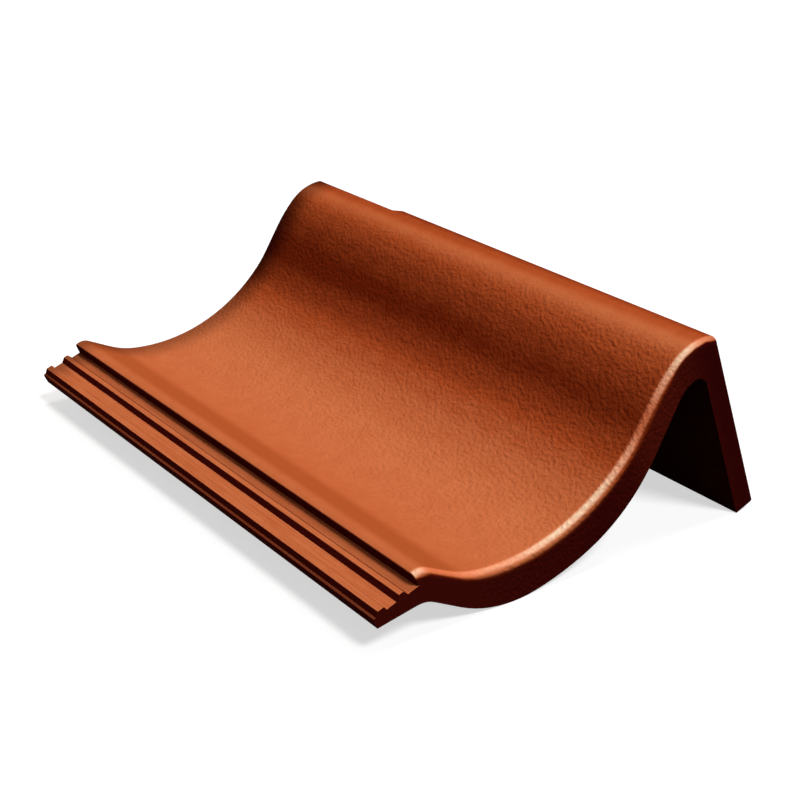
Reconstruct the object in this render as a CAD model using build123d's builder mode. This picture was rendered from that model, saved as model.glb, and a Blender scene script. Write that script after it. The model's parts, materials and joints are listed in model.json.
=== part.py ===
"""Right-hand concrete verge tile: one moulded piece with a side lock, a deep pan, a roll and a verge flap.

The section is drawn as the tile lies on the roof, with the lock to the left, the flap to the right and
the lowest line of the pan's upper face as the origin. The tile is stored as it lies on a level floor,
tipped onto the underside of its pan and the foot of its flap. Millimetres and degrees, +Z up, the eave
end at -Y, and the origin in the middle of the footprint.
"""
import os
from math import asin, atan2, cos, degrees, hypot, radians, sin, tan

from build123d import *

# Overall length
tile_length = 420

# Pan and roll, upper face: radii, the slopes at which one radius hands over to the next, straights
pan_radius = 126
pan_left_angle = 27.5
left_bend_radius = 63
left_slope = 46.7
left_slope_length = 23.5
pan_right_angle = 28
right_bend_radius = 91
right_slope = 37.2
right_slope_length = 19.8
shoulder_radius = 115
shoulder_slope = 25
crest_radius = 37.6
crest_overhang = 19.2

# Wall: thickness at the lowest line and at the crest, and how much wider the underside is bent
pan_thickness = 26.4
crest_thickness = 21.7
under_pan_widening = 44
under_left_angle = 10
under_left_widening = 21.7
under_left_slope = 48.8
under_right_angle = 4.8
under_right_widening = 19.3
under_right_slope = 40.1
roll_bend_share = 0.42
flap_bend_share = 0.5

# Verge flap and the head lap, where the next tile's flap takes over
flap_depth = 136
flap_thickness = 16
head_lap = 102
head_lap_step = 5
head_lap_ramp = 5
ramp_round = 4

# Side lock, counted outward from the lip
lip_width = 7
lip_step = 7.5
inner_channel = 6.8
inner_rib_flank = 2.2
inner_rib_top = 3.1
inner_rib_rise = 3.0
outer_channel = 6.7
outer_channel_lift = 0.8
outer_rib_flank = 1.1
outer_rib_top = 4.4
outer_rib_rise = 2.4
outer_ledge = 1.9
rib_height = 2.9
lock_thickness = 7
lock_lean = 0.4
lock_under_slope = 10.4
lock_under_bend = 18

# Hanging nib under the head end
nib_offset = 16
nib_width = 40
nib_drop = 12.3
nib_root_share = 0.6
nib_length = 18
nib_setback = 6
nib_round = 4

# Rounded edges
nose_radius = 4
lip_outer_round = 1.5
lip_inner_round = 10
crest_edge_round = 3
rib_round = 0.7
level_share = 0.3
middle_share = 0.5
overrun = 10


def slope_way(angle, length):
    """Run and rise of a straight of this length at this angle."""
    return length * cos(radians(angle)), length * sin(radians(angle))


def bend_way(radius, start, end):
    """Run and rise of an arc that turns from one slope to another."""
    run = radius * abs(sin(radians(end)) - sin(radians(start)))
    rise = radius * abs(cos(radians(end)) - cos(radians(start)))
    return run, rise


def add_ways(ways):
    """Run and rise of several stretches, one after the other."""
    return sum(run for run, rise in ways), sum(rise for run, rise in ways)


# Upper face, from the lowest line of the pan: up to the lip on the left and to the crest on the right
lip_run, lip_z = add_ways([
    bend_way(pan_radius, 0, pan_left_angle),
    bend_way(left_bend_radius, pan_left_angle, left_slope),
    slope_way(left_slope, left_slope_length),
])
crest_x, crest_z = add_ways([
    bend_way(pan_radius, 0, pan_right_angle),
    bend_way(right_bend_radius, pan_right_angle, right_slope),
    slope_way(right_slope, right_slope_length),
    bend_way(shoulder_radius, right_slope, shoulder_slope),
    bend_way(crest_radius, shoulder_slope, 0),
])
lip_inner_x = -lip_run
lip_outer_x = lip_inner_x - lip_width
crest_end_angle = degrees(asin(crest_overhang / crest_radius))

# Flap
flap_outer_x = crest_x + crest_overhang
flap_inner_x = flap_outer_x - flap_thickness
flap_foot_z = crest_z - flap_depth
roll_edge_x = flap_outer_x - head_lap_step

# Underside
under_z = -pan_thickness
under_pan_radius = pan_radius + under_pan_widening
under_left_radius = left_bend_radius + under_left_widening
under_right_radius = right_bend_radius + under_right_widening
ceiling_z = crest_z - crest_thickness
under_right_run, under_right_rise = add_ways([
    bend_way(under_pan_radius, 0, under_right_angle),
    bend_way(under_right_radius, under_right_angle, under_right_slope),
])
roll_corner_x = under_right_run + (ceiling_z - under_z - under_right_rise) / tan(radians(under_right_slope))
ceiling_width = flap_inner_x - roll_corner_x
roll_bend = ceiling_width * roll_bend_share / tan(radians(under_right_slope) / 2)
flap_bend = ceiling_width * flap_bend_share

# Lock levels and its outer corners
inner_floor_z = lip_z - lip_step
outer_floor_z = inner_floor_z + outer_channel_lift
rib_top_z = outer_floor_z + rib_height
lock_foot_z = outer_floor_z - lock_thickness
inner_rib_x = lip_outer_x - inner_channel
outer_rib_x = inner_rib_x - inner_rib_flank - inner_rib_top - inner_rib_rise - outer_channel
ledge_x = outer_rib_x - outer_rib_flank - outer_rib_top - outer_rib_rise
lock_tip_x = ledge_x - outer_ledge
lock_foot_x = lock_tip_x + lock_lean

# Where the underside of the lock meets the underside of the left slope
under_left_run, under_left_rise = add_ways([
    bend_way(under_pan_radius, 0, under_left_angle),
    bend_way(under_left_radius, under_left_angle, under_left_slope),
])
slope_fall = tan(radians(under_left_slope))
lock_fall = tan(radians(lock_under_slope))
slope_line_z = under_z + under_left_rise - under_left_run * slope_fall
lock_line_z = lock_foot_z + lock_foot_x * lock_fall
lock_corner_x = (lock_line_z - slope_line_z) / (lock_fall - slope_fall)
lock_corner_z = slope_line_z - lock_corner_x * slope_fall

# Lying on the floor: the line from the flap's inner foot that touches the bend under the pan is level
bend_shift = under_pan_radius - under_left_radius
bend_x = -bend_shift * sin(radians(under_left_angle))
bend_z = under_z + under_pan_radius - bend_shift * cos(radians(under_left_angle))
foot_to_bend = hypot(bend_x - flap_inner_x, bend_z - flap_foot_z)
foot_to_bend_angle = degrees(atan2(bend_z - flap_foot_z, flap_inner_x - bend_x))
tilt = foot_to_bend_angle - degrees(asin(under_left_radius / foot_to_bend))
tilt_cos = cos(radians(tilt))
tilt_sin = sin(radians(tilt))
left_reach = lock_tip_x * tilt_cos - outer_floor_z * tilt_sin
right_reach = flap_outer_x * tilt_cos - flap_foot_z * tilt_sin
origin_x = -(left_reach + right_reach) / 2
origin_z = -(flap_inner_x * tilt_sin + flap_foot_z * tilt_cos)
head_plane = Plane((origin_x, tile_length / 2, origin_z), x_dir=(tilt_cos, 0, tilt_sin), z_dir=(0, -1, 0))
roof_plane = Plane((origin_x, 0, origin_z), x_dir=(tilt_cos, 0, tilt_sin), z_dir=(-tilt_sin, 0, tilt_cos))


def rib(start_x, flanks, floor_z):
    """Outline points of one lock rib, from its inner foot outward."""
    inner_flank, top, outer_flank = flanks
    return [
        (start_x, floor_z),
        (start_x - inner_flank, rib_top_z),
        (start_x - inner_flank - top, rib_top_z),
        (start_x - inner_flank - top - outer_flank, outer_floor_z),
    ]


inner_rib = rib(inner_rib_x, (inner_rib_flank, inner_rib_top, inner_rib_rise), inner_floor_z)
outer_rib = rib(outer_rib_x, (outer_rib_flank, outer_rib_top, outer_rib_rise), outer_floor_z)
lip_inner = (lip_inner_x, lip_z)
lip_outer = (lip_outer_x, lip_z)
lock_tip = (lock_tip_x, outer_floor_z)
lock_corner = (lock_corner_x, lock_corner_z)
roll_corner = (roll_corner_x, ceiling_z)
flap_corner = (flap_inner_x, ceiling_z)
flap_foot = (flap_inner_x, flap_foot_z)


def roof_place(edge):
    """Middle of an edge, as the tile lies on the roof."""
    return roof_plane.to_local_coords(edge @ middle_share)


def on_upper_face(edge):
    """Whether an edge of the eave end borders the upper face, between the lip and the crest."""
    wall = [face for face in verge_tile.faces().filter_by(Axis.Y, reverse=True) if edge in face.edges()][0]
    upward = wall.normal_at(edge @ middle_share).dot(roof_plane.z_dir)
    return roof_place(edge).X > lip_outer_x and upward > level_share


def on_outer_edge(edge):
    """Whether an edge of the crest is the one that it shares with the flap or the end of the roll."""
    return roof_place(edge).X > crest_x + crest_overhang / 2


with BuildPart() as verge_tile:
    with BuildSketch(head_plane):
        with BuildLine():
            pan_left = JernArc((0, 0), (-1, 0), pan_radius, -pan_left_angle)
            left_bend = JernArc(pan_left @ 1, pan_left % 1, left_bend_radius, pan_left_angle - left_slope)
            Polyline(
                left_bend @ 1, lip_inner, lip_outer, (lip_outer_x, inner_floor_z), *inner_rib, *outer_rib,
                lock_tip, (lock_foot_x, lock_foot_z), lock_corner,
                (-under_left_run, under_z + under_left_rise),
            )
            under_left = JernArc((0, under_z), (-1, 0), under_pan_radius, -under_left_angle)
            JernArc(under_left @ 1, under_left % 1, under_left_radius, under_left_angle - under_left_slope)
            under_right = JernArc((0, under_z), (1, 0), under_pan_radius, under_right_angle)
            under_bend = JernArc(
                under_right @ 1, under_right % 1, under_right_radius, under_right_slope - under_right_angle
            )
            pan_right = JernArc((0, 0), (1, 0), pan_radius, pan_right_angle)
            right_bend = JernArc(
                pan_right @ 1, pan_right % 1, right_bend_radius, right_slope - pan_right_angle
            )
            slope = PolarLine(right_bend @ 1, right_slope_length, right_slope)
            shoulder = JernArc(slope @ 1, slope % 1, shoulder_radius, shoulder_slope - right_slope)
            crest = JernArc(shoulder @ 1, shoulder % 1, crest_radius, -shoulder_slope - crest_end_angle)
            Polyline(
                under_bend @ 1, roll_corner, flap_corner, flap_foot, (flap_outer_x, flap_foot_z), crest @ 1
            )
        make_face()
        fillet(vertices().sort_by_distance(lip_inner)[0], lip_inner_round)
        fillet(vertices().sort_by_distance(lock_corner)[0], lock_under_bend)
        fillet(vertices().sort_by_distance(roll_corner)[0], roll_bend)
        fillet(vertices().sort_by_distance(flap_corner)[0], flap_bend)
        for rib_corner in (*inner_rib[1:3], *outer_rib[1:3], lock_tip):
            fillet(vertices().sort_by_distance(rib_corner)[0], rib_round)
    extrude(amount=tile_length)

    # The nib hooks over the batten
    with BuildSketch(head_plane.offset(nib_setback)):
        with Locations((nib_offset, under_z - nib_drop)):
            Rectangle(nib_width, nib_drop + pan_thickness * nib_root_share, align=(Align.MIN, Align.MIN))
        fillet(vertices().group_by(Axis.Y)[0], nib_round)
    extrude(amount=nib_length)

    # Over the head lap the flap is left off and the edge of the roll is set back behind a ramp
    head_y = tile_length / 2 + overrun
    lap_y = tile_length / 2 - head_lap
    ramp_y = lap_y + head_lap_ramp
    with BuildSketch(roof_plane):
        with BuildLine():
            Polyline(
                (roll_edge_x, head_y), (roll_edge_x, ramp_y), (flap_outer_x, lap_y),
                (flap_outer_x + overrun, lap_y), (flap_outer_x + overrun, head_y), close=True,
            )
        make_face()
        fillet(vertices().sort_by_distance((roll_edge_x, ramp_y))[0], ramp_round)
    extrude(amount=crest_z + flap_depth, both=True, mode=Mode.SUBTRACT)
    with BuildSketch(head_plane):
        with Locations((flap_inner_x - flap_bend, ceiling_z)):
            Rectangle(flap_thickness + flap_bend, flap_depth, align=(Align.MIN, Align.MAX))
    extrude(amount=head_lap - head_lap_ramp, mode=Mode.SUBTRACT)

    # The eave end has a rounded nose from the lip to the crest, and then the long edges are eased
    eave_face = faces().sort_by(Axis.Y)[0]
    fillet(eave_face.edges().filter_by(on_upper_face), nose_radius)
    lip_middle = roof_plane.from_local_coords((lip_outer_x, 0, lip_z))
    fillet(edges().filter_by(Axis.Y).sort_by_distance(lip_middle)[0], lip_outer_round)
    crest_middle = roof_plane.from_local_coords((crest_x, 0, crest_z))
    crest_face = faces().sort_by_distance(crest_middle)[0]
    fillet(crest_face.edges().filter_by(on_outer_edge), crest_edge_round)

verge_tile.part.label = "verge_tile"
os.makedirs("parts", exist_ok=True)
export_step(verge_tile.part, "parts/verge_tile.step")
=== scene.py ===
"""Looks of the concrete verge tile: its finish, a pale floor, studio lamps and the photograph's camera."""
import json
import math
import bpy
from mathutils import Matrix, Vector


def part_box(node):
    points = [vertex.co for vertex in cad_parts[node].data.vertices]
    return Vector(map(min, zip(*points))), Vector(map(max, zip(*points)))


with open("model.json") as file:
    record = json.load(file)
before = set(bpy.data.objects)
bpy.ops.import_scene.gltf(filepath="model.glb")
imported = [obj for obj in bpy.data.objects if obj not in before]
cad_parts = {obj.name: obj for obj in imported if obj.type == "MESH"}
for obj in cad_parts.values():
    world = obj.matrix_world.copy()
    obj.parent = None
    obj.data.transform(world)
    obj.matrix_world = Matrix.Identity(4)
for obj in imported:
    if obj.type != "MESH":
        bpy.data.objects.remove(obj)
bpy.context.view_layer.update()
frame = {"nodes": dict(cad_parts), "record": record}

from types import SimpleNamespace

import bpy
from mathutils import Vector

# Camera: place in metres, heading from +Y towards +X and dip below level in degrees, millimetres of lens
camera_place = (-0.5694, -0.8125, 0.4754)
camera_heading = 36.01
camera_dip = 23.75
camera_lens = 71.55
sensor_width = 36.0

# Floor: size in metres, its glow where it is seen, its own colour there, and its colour where light bounces
floor_size = 30.0
floor_glow = 0.62
floor_colour = (0.50, 0.50, 0.50, 1.0)
floor_bounce_colour = (0.04, 0.04, 0.04, 1.0)

# Lamps: the way to each, as azimuth from +Y towards +X and elevation, its strength and its angle in degrees
lamps = {
    "key": (178, 55, 2.45, 16),
    "side": (88, 64, 1.0, 16),
}

# World: its light's colour, its strengths from in front and from behind, and its colour where it is seen
world_colour = (1.0, 0.9, 0.85, 1.0)
world_strengths = (0.06, 0.60)
backdrop_colour = (1.0, 1.0, 1.0, 1.0)

# Coat: its colours from deep to pale, the deep ones standing for painted shade, then its painted shade in
# the bend beside the lip and towards the head edge
coat_and_shade_colours = ((0.17, 0.018, 0.003, 1.0), (0.43, 0.075, 0.018, 1.0), (0.60, 0.163, 0.058, 1.0))
bend_shade_colour = (0.405, 0.082, 0.020, 1.0)
head_shade_colour = (0.012, 0.001, 0.001, 1.0)

# Painted highlight along the rounded nose: its colours from deep to pale
nose_highlight_colours = ((0.87, 0.215, 0.083, 1.0), (1.0, 0.70, 0.46, 1.0))

# Painted shade: the front and the lock's steps from deep to pale, then the underside; and the head end's
# bare concrete
front_shade_colours = ((0.038, 0.002, 0.002, 1.0), (0.105, 0.010, 0.004, 1.0))
under_shade_colour = (0.07, 0.010, 0.004, 1.0)
end_colour = (0.34, 0.065, 0.025, 1.0)

# Shine: the shader's specular level, and its roughness from the grain's hollows to its tops
concrete_gloss = 0.002
concrete_roughness = (0.65, 0.85)

# How pale the coat is across the section, at distances in metres from the middle of the inner channel,
# painted darker as shade on the roll's flank and at the crest's edge
section_shade_tones = {
    0.000: 0.90,
    0.007: 0.84,
    0.036: 0.80,
    0.055: 0.90,
    0.095: 0.97,
    0.126: 0.81,
    0.140: 0.63,
    0.163: 0.24,
    0.179: 0.01,
    0.196: 0.22,
    0.208: 0.45,
    0.225: 0.79,
    0.235: 0.43,
    0.2445: 0.10,
}

# How much of the bend's painted shade the coat has, at the same distances
bend_shade_shares = {
    0.007: 0.00,
    0.016: 0.85,
    0.026: 0.85,
    0.037: 0.00,
}

# How pale the painted nose highlight is, at the same distances
nose_highlight_tones = {
    0.004: 0.90,
    0.016: 0.02,
    0.055: 0.35,
    0.100: 1.00,
    0.130: 1.00,
    0.157: 0.46,
    0.179: 0.06,
    0.200: 0.44,
    0.219: 1.00,
    0.236: 0.25,
}

# How pale the front's painted shade is, at the same distances
front_shade_tones = {
    0.016: 0.35,
    0.105: 0.22,
    0.130: 0.12,
    0.155: 0.25,
    0.179: 0.70,
    0.200: 0.75,
    0.215: 0.45,
    0.236: 0.05,
}

# How far below the upper face the front is painted darker as shade, in metres, at the same distances
front_shade_drops = {
    0.008: 0.0018,
    0.018: 0.0020,
    0.050: 0.0032,
    0.180: 0.0033,
    0.200: 0.0025,
    0.215: 0.0013,
    0.2445: 0.0010,
}

# How many such drops down the front's coat deepens as painted shade, and how many down it gives way to the
# front's near-black painted shade
deep_drops = (0.9, 1.8)
dark_drops = (1.2, 2.3)

# How pale the coat is on the flap's outer face
flap_tone = 0.72

# How much the roll is painted paler to the front and darker to the back as light and shade, and where
# across the section it starts
roll_light_and_shade = 0.08
pan_to_roll = (0.10, 0.16)

# Noises: the range that is used, sizes in metres, stretch, turn in degrees and how far they change a tone
noise_range = (0.3, 0.7)
mottle_size = 0.012
mottle_detail = 4.0
mottle_share = 0.04
grain_size = 0.0025
grain_stretch = (1, 1.3, 1)
grain_turn = 35
streak_size = 0.0009
streak_stretch = (1, 60, 1)
streak_share = 0.14
sand_size = 0.0012
sand_share = 0.15

# Relief of the grain in metres, where across the section it grows and lessens, and its shares there
grain_relief = 0.0015
lock_to_pan = (0.025, 0.060)
lock_to_pan_shares = (0.25, 1.0)
roll_to_crest = (0.212, 0.228)
roll_to_crest_shares = (1.0, 0.4)

# Places in metres across the section: the edges of the lip, the outer ledge and the crest, and their blur
lip_edge = 0.0048
edge_blur = 0.001
ledge_edge = -0.0262
ledge_blur = 0.0003
crest_edge = 0.2445

# How much painted shade darkens the outer ledge and the inner flanks of the lock's ribs
ledge_shade_share = 0.8
flank_shade_share = 0.7

# Looking down on the upper face to find its height: how many times, and from how far above, in metres
look_count = 28
look_height = 0.2

# Painted nose highlight: its depth in metres, the part of that painted in full, and its shares by grain,
# tone and crest
nose_highlight_depth = 0.0062
nose_highlight_full_share = 0.5
nose_highlight_grain_shares = (0.82, 1.0)
nose_highlight_tone_range = (0.0, 0.4)
nose_highlight_tone_shares = (0.72, 1.0)
nose_highlight_to_crest = (0.225, 0.2445)
nose_highlight_to_crest_shares = (1.0, 0.6)

# Depths in metres of the painted shade along the flap's front edge and at the head edge, whose shares are
# for deep and pale coats
flap_edge_depth = 0.004
head_shade_depth = 0.030
head_shade_shares = (0.85, 0.48)

# Parts of the normal between which a face turns into the flap, a riser, a flank, the underside and so on
flap_facing = (0.7, 0.9)
riser_facing = (-0.5, -0.75)
flank_facing = (0.0, 0.25)
under_facing = (-0.1, -0.3)
end_facing = (0.5, 0.9)
nose_highlight_facing = (0.25, 0.5)
flap_edge_facing = (0.35, 0.15)
flap_edge_aside = (0.02, 0.2)

# How far a face is turned from the front, from 0 to 1, where the painted nose highlight starts and where
# the front, painted as shade, ends
nose_highlight_level = (0.15, 0.85)
front_level = (0.95, 0.65)

# The side lock's mount tells how far the tile is tipped from the way it lies on a roof
lock_mount = next(mount for mount in frame["record"]["mounts"] if mount["name"] == "side_lock")
tilt = math.atan2(-lock_mount["axis"][0], lock_mount["axis"][2])
front, back = (corner[1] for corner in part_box("verge_tile"))
tile = frame["nodes"]["verge_tile"]


def add_node(tree, kind, inputs=None, **settings):
    """A shader node with its settings, whose inputs are values or other nodes' outputs."""
    node = tree.nodes.new("ShaderNode" + kind)
    for name, value in settings.items():
        setattr(node, name, value)
    for name, value in (inputs or {}).items():
        if isinstance(value, bpy.types.NodeSocket):
            tree.links.new(value, node.inputs[name])
        else:
            node.inputs[name].default_value = value
    return node


def new_material(name):
    """An empty node material with its output."""
    material = bpy.data.materials.new(name)
    material.use_nodes = True
    material.node_tree.nodes.clear()
    return material, material.node_tree, add_node(material.node_tree, "OutputMaterial")


def noise(tree, place, size, stretch=(1, 1, 1), turn=0, detail=2.0):
    """Noise with lumps of about this size, drawn out along the stretched axes and turned about X."""
    inputs = {"Vector": place, "Scale": stretch, "Rotation": (math.radians(turn), 0, 0)}
    spread = add_node(tree, "Mapping", inputs, vector_type="TEXTURE")
    inputs = {"Vector": spread.outputs["Vector"], "Scale": 1 / size, "Detail": detail}
    return add_node(tree, "TexNoise", inputs).outputs["Fac"]


def ramp(tree, value, low, high, start=0.0, end=1.0):
    """A smooth change from start to end as the value goes from low to high."""
    inputs = {"Value": value, "From Min": low, "From Max": high, "To Min": start, "To Max": end}
    return add_node(tree, "MapRange", inputs, interpolation_type="SMOOTHSTEP").outputs["Result"]


def math_node(tree, operation, *values):
    """A sum, a root or the like of values and sockets."""
    return add_node(tree, "Math", dict(enumerate(values)), operation=operation).outputs["Value"]


def combine(tree, operation, first, *others):
    """The product or the greatest of several shares."""
    for other in others:
        first = math_node(tree, operation, first, other)
    return first


def blend(tree, share, first, second):
    """A colour between two others."""
    return add_node(tree, "MixRGB", {"Fac": share, "Color1": first, "Color2": second}).outputs["Color"]


def parts_of(tree, vector):
    """The three parts of a vector."""
    return add_node(tree, "SeparateXYZ", {"Vector": vector}).outputs


def colour_ramp(tree, share, stops, interpolation):
    """A colour by a share from 0 to 1, from stops of share and colour."""
    node = add_node(tree, "ValToRGB", {"Fac": share})
    node.color_ramp.interpolation = interpolation
    elements = node.color_ramp.elements
    elements.remove(elements[1])
    for index, (position, colour) in enumerate(stops):
        element = elements[0] if index == 0 else elements.new(position)
        element.position = position
        element.color = colour
    return node.outputs["Color"]


def tone_across(tree, spot, tones, interpolation="EASE"):
    """A tone by the place across the section."""
    width = max(tones)
    stops = [(distance / width, (tone, tone, tone, 1.0)) for distance, tone in tones.items()]
    return colour_ramp(tree, math_node(tree, "DIVIDE", spot.across, width), stops, interpolation)


def upper_heights():
    """The upper face's heights as the tile lies on a roof, at even places from the lip to the crest."""
    bpy.context.view_layer.update()
    channel, up = Vector(lock_mount["pos_m"]), Vector(lock_mount["axis"])
    aside = Vector((up.z, 0, -up.x))
    heights = {}
    for index in range(look_count):
        across = lip_edge + (crest_edge - lip_edge) * index / (look_count - 1)
        spot = tile.ray_cast(channel + aside * across + up * look_height, -up)[1]
        heights[across] = (spot - channel).dot(up)
    return heights


def depth_below(tree, spot):
    """How far a spot of the front lies below the upper face."""
    heights = upper_heights()
    lowest, highest = min(heights.values()), max(heights.values())
    shares = {across: (height - lowest) / (highest - lowest) for across, height in heights.items()}
    share = tone_across(tree, spot, shares, "LINEAR")
    upper = math_node(tree, "MULTIPLY_ADD", share, highest - lowest, lowest)
    return math_node(tree, "SUBTRACT", upper, spot.height)


def roof_place(tree, place):
    """The place on the tile as it lies on a roof, from the middle of the side lock's inner channel."""
    inputs = {"Vector": place, "Location": lock_mount["pos_m"], "Rotation": (0, -tilt, 0)}
    return add_node(tree, "Mapping", inputs, vector_type="TEXTURE").outputs["Vector"]


def tile_spot(tree):
    """What the finish goes by at each spot of the tile: its place, the way it faces and its noises."""
    coordinates = add_node(tree, "TexCoord").outputs
    place, normal = coordinates["Object"], coordinates["Normal"]
    roof = roof_place(tree, place)
    across, height = (parts_of(tree, roof)[axis] for axis in "XZ")
    facing = parts_of(tree, normal)
    roof_facing = add_node(tree, "VectorMath", {0: normal, 1: lock_mount["axis"]}, operation="DOT_PRODUCT")
    forward = math_node(tree, "MINIMUM", facing["Y"], 0.0)
    rest = math_node(tree, "SUBTRACT", 1.0, math_node(tree, "MULTIPLY", forward, forward))
    return SimpleNamespace(
        across=across,
        height=height,
        along=parts_of(tree, place)["Y"],
        aside=facing["X"],
        ahead=facing["Y"],
        upward=facing["Z"],
        roof_up=roof_facing.outputs["Value"],
        level=math_node(tree, "SQRT", rest),
        on_lock=ramp(tree, across, lip_edge, lip_edge - edge_blur),
        mottle=noise(tree, place, mottle_size, detail=mottle_detail),
        streak=noise(tree, roof, streak_size, streak_stretch),
        grain=noise(tree, place, grain_size, grain_stretch, grain_turn),
        sand=noise(tree, place, sand_size),
    )


def coat_tone(tree, spot):
    """How pale the coat is: painted shade by its place across the section, the flap's own tone, mottled,
    streaked on the lock, and painted paler to the front and darker to the back up the roll.
    """
    # Painted shade across the section: darker on the roll's flank and at the crest's edge
    tone = tone_across(tree, spot, section_shade_tones)
    tone = math_node(tree, "MAXIMUM", tone, ramp(tree, spot.aside, *flap_facing, 0.0, flap_tone))
    tone = math_node(tree, "ADD", tone, ramp(tree, spot.mottle, *noise_range, -mottle_share, mottle_share))
    streaked = ramp(tree, spot.streak, *noise_range, -streak_share, streak_share)
    tone = math_node(tree, "MULTIPLY_ADD", streaked, spot.on_lock, tone)
    # Painted light and shade: the roll paler to the front and darker to the back
    faded = ramp(tree, spot.along, front, back, roll_light_and_shade, -roll_light_and_shade)
    return math_node(tree, "MULTIPLY_ADD", faded, ramp(tree, spot.across, *pan_to_roll), tone)


def coat_colour(tree, spot):
    """The coat, with painted shade that makes it browner in the bend beside the lip and darker towards the
    head edge.
    """
    tone = coat_tone(tree, spot)
    stops = [(index / (len(coat_and_shade_colours) - 1), colour) for index, colour in enumerate(coat_and_shade_colours)]
    coat = colour_ramp(tree, tone, stops, "LINEAR")
    # Painted shade: browner in the bend beside the lip
    coat = blend(tree, tone_across(tree, spot, bend_shade_shares), coat, bend_shade_colour)
    # Painted shade: darker towards the head edge
    near_head = ramp(tree, spot.along, back - head_shade_depth, back)
    head = combine(tree, "MULTIPLY", near_head, ramp(tree, tone, 0.0, 1.0, *head_shade_shares))
    return blend(tree, head, coat, head_shade_colour)


def painted_nose_highlight(tree, spot, coat):
    """A painted highlight: the coat painted pale along the rounded nose of the eave, from the lip to the
    crest.
    """
    tone = tone_across(tree, spot, nose_highlight_tones)
    nose = combine(
        tree, "MULTIPLY",
        ramp(tree, spot.along, front + nose_highlight_depth, front + nose_highlight_depth * nose_highlight_full_share),
        ramp(tree, spot.across, lip_edge - edge_blur, lip_edge),
        ramp(tree, spot.grain, *noise_range, *nose_highlight_grain_shares),
        ramp(tree, spot.level, *nose_highlight_level),
        ramp(tree, spot.roof_up, *nose_highlight_facing),
        ramp(tree, tone, *nose_highlight_tone_range, *nose_highlight_tone_shares),
        ramp(tree, spot.across, *nose_highlight_to_crest, *nose_highlight_to_crest_shares),
    )
    pale = combine(tree, "MULTIPLY", nose, tone)
    return blend(tree, nose, coat, blend(tree, pale, *nose_highlight_colours))


def sandy(tree, spot, colour):
    """A colour for painted shade and for the head end's bare concrete, darker and paler with the sand in
    it.
    """
    shades = [[part * (1 + change) for part in colour[:3]] + [1.0] for change in (-sand_share, sand_share)]
    return blend(tree, ramp(tree, spot.sand, *noise_range), *shades)


def painted_lock_shade(tree, spot):
    """How much painted shade darkens the lock's risers, its ribs' inner flanks and its outer ledge."""
    outward = ramp(tree, spot.aside, *riser_facing)
    inward = ramp(tree, spot.aside, *flank_facing, 0.0, flank_shade_share)
    steps = combine(tree, "MULTIPLY", spot.on_lock, combine(tree, "MAXIMUM", outward, inward))
    ledge = ramp(tree, spot.across, ledge_edge, ledge_edge - ledge_blur, 0.0, ledge_shade_share)
    return combine(tree, "MAXIMUM", steps, ledge)


def painted_flap_edge_shade(tree, spot):
    """How much painted shade darkens the flap's front edge."""
    return combine(
        tree, "MULTIPLY",
        ramp(tree, spot.along, front + flap_edge_depth, front + flap_edge_depth - edge_blur),
        ramp(tree, spot.roof_up, *flap_edge_facing),
        ramp(tree, spot.aside, *flap_edge_aside),
    )


def with_painted_shade(tree, spot, coat):
    """The coat, with painted shade: near-black on the lock, along the flap's edge and down the front, and
    dark on the underside; and the head end's bare concrete.
    """
    drops = math_node(tree, "DIVIDE", depth_below(tree, spot), tone_across(tree, spot, front_shade_drops))
    facing_front = ramp(tree, spot.level, *front_level)
    deep = combine(tree, "MULTIPLY", facing_front, ramp(tree, drops, *deep_drops))
    face = combine(tree, "MULTIPLY", facing_front, ramp(tree, drops, *dark_drops))
    # Painted shade: near-black on the lock's steps, along the flap's front edge and down the front
    dark = combine(tree, "MAXIMUM", painted_lock_shade(tree, spot), painted_flap_edge_shade(tree, spot), face)
    front_shades = [sandy(tree, spot, colour) for colour in front_shade_colours]
    front_shade = blend(tree, tone_across(tree, spot, front_shade_tones), *front_shades)
    # Painted shade: the front's coat deepens down from the nose
    coat = blend(tree, deep, coat, coat_and_shade_colours[0])
    # Painted shade: the underside painted dark
    coat = blend(tree, ramp(tree, spot.upward, *under_facing), coat, sandy(tree, spot, under_shade_colour))
    coat = blend(tree, ramp(tree, spot.ahead, *end_facing), coat, sandy(tree, spot, end_colour))
    return blend(tree, dark, coat, front_shade)


def concrete_material():
    """Brick-red concrete with a fine leathery grain, faint on the lock and the crest."""
    material, tree, output = new_material("concrete")
    spot = tile_spot(tree)
    # Painted highlight along the nose, over the coat with its painted shade
    coat = painted_nose_highlight(tree, spot, coat_colour(tree, spot))
    grain_shares = combine(
        tree, "MULTIPLY",
        ramp(tree, spot.across, *lock_to_pan, *lock_to_pan_shares),
        ramp(tree, spot.across, *roll_to_crest, *roll_to_crest_shares),
    )
    bump = add_node(tree, "Bump", {
        "Height": spot.grain,
        "Strength": grain_shares,
        "Distance": grain_relief,
    })
    shader = add_node(tree, "BsdfPrincipled", {
        "Base Color": with_painted_shade(tree, spot, coat),
        "Roughness": ramp(tree, spot.grain, *noise_range, *concrete_roughness),
        "Specular IOR Level": concrete_gloss,
        "Normal": bump.outputs["Normal"],
    })
    tree.links.new(shader.outputs["BSDF"], output.inputs["Surface"])
    return material


def seen_rays(tree):
    """One where the camera, a gloss or a glass sees the surface, and nought where it only sends light."""
    path = add_node(tree, "LightPath").outputs
    kinds = ("Camera", "Glossy", "Transmission")
    return combine(tree, "MAXIMUM", *(path[f"Is {kind} Ray"] for kind in kinds))


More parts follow.
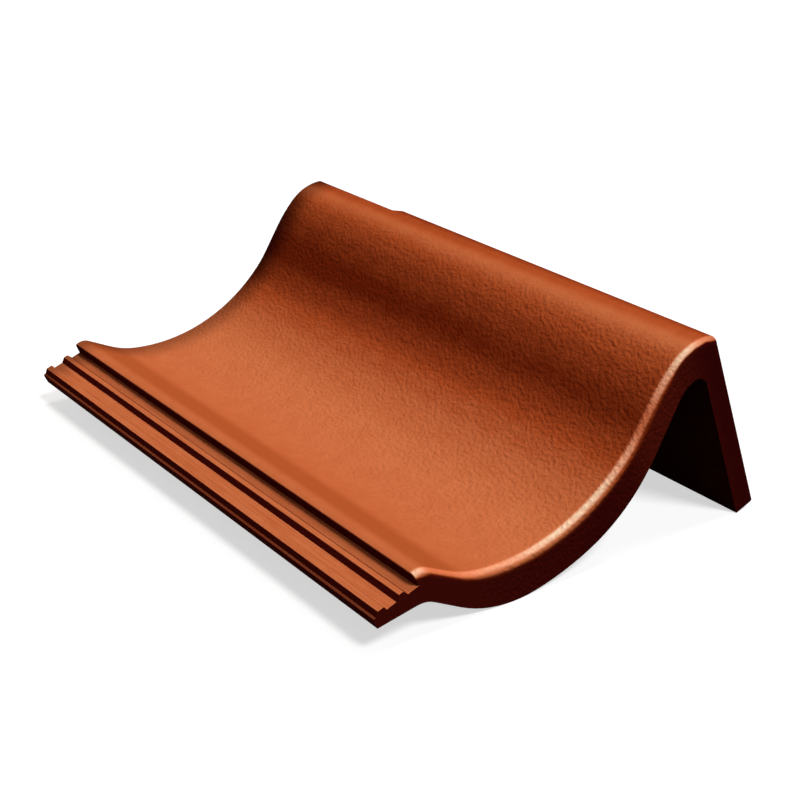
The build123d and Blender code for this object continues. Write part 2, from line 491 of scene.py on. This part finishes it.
def floor_material():
    """White with the tile's shadow where it is seen, and dark where light would bounce off it."""
    material, tree, output = new_material("floor")
    glow = add_node(tree, "Emission", {"Strength": floor_glow})
    lit = add_node(tree, "BsdfDiffuse", {"Color": floor_colour})
    shown = add_node(tree, "AddShader", {0: glow.outputs[0], 1: lit.outputs[0]})
    bounce = add_node(tree, "BsdfDiffuse", {"Color": floor_bounce_colour})
    mix = add_node(tree, "MixShader", {0: seen_rays(tree), 1: bounce.outputs[0], 2: shown.outputs[0]})
    tree.links.new(mix.outputs[0], output.inputs["Surface"])
    return material


def add_floor():
    """A plain pale floor under the tile."""
    bpy.ops.mesh.primitive_plane_add(size=floor_size)
    floor = bpy.context.object
    floor.name = "floor"
    floor.data.materials.append(floor_material())


def add_lamp(name, azimuth, elevation, strength, angle):
    """A soft lamp far away, on the way given."""
    turn, rise = math.radians(azimuth), math.radians(elevation)
    way = Vector((math.sin(turn) * math.cos(rise), math.cos(turn) * math.cos(rise), math.sin(rise)))
    data = bpy.data.lights.new(name, "SUN")
    data.energy = strength
    data.angle = math.radians(angle)
    lamp = bpy.data.objects.new(name, data)
    lamp.rotation_euler = way.to_track_quat("Z", "Y").to_euler()
    bpy.context.scene.collection.objects.link(lamp)


def add_world():
    """A faint light from the front, stronger from behind, and plain white where it is seen."""
    world = bpy.data.worlds.new("studio")
    world.use_nodes = True
    tree = world.node_tree
    tree.nodes.clear()
    behind = parts_of(tree, add_node(tree, "TexCoord").outputs["Generated"])["Y"]
    strength = ramp(tree, behind, 0.0, 1.0, *world_strengths)
    light = add_node(tree, "Background", {"Color": world_colour, "Strength": strength})
    backdrop = add_node(tree, "Background", {"Color": backdrop_colour})
    mix = add_node(tree, "MixShader", {0: seen_rays(tree), 1: light.outputs[0], 2: backdrop.outputs[0]})
    add_node(tree, "OutputWorld", {"Surface": mix.outputs[0]})
    bpy.context.scene.world = world


def add_camera():
    """The photograph's view, without roll or shift."""
    data = bpy.data.cameras.new("camera")
    data.lens = camera_lens
    data.sensor_width = sensor_width
    camera = bpy.data.objects.new("camera", data)
    camera.location = camera_place
    camera.rotation_euler = (math.radians(90 - camera_dip), 0, -math.radians(camera_heading))
    bpy.context.scene.collection.objects.link(camera)
    bpy.context.scene.camera = camera


bpy.context.scene.view_settings.view_transform = "Standard"
add_camera()
add_floor()
add_world()
for name, setting in lamps.items():
    add_lamp(name, *setting)

tile.data.materials.clear()
tile.data.materials.append(concrete_material())
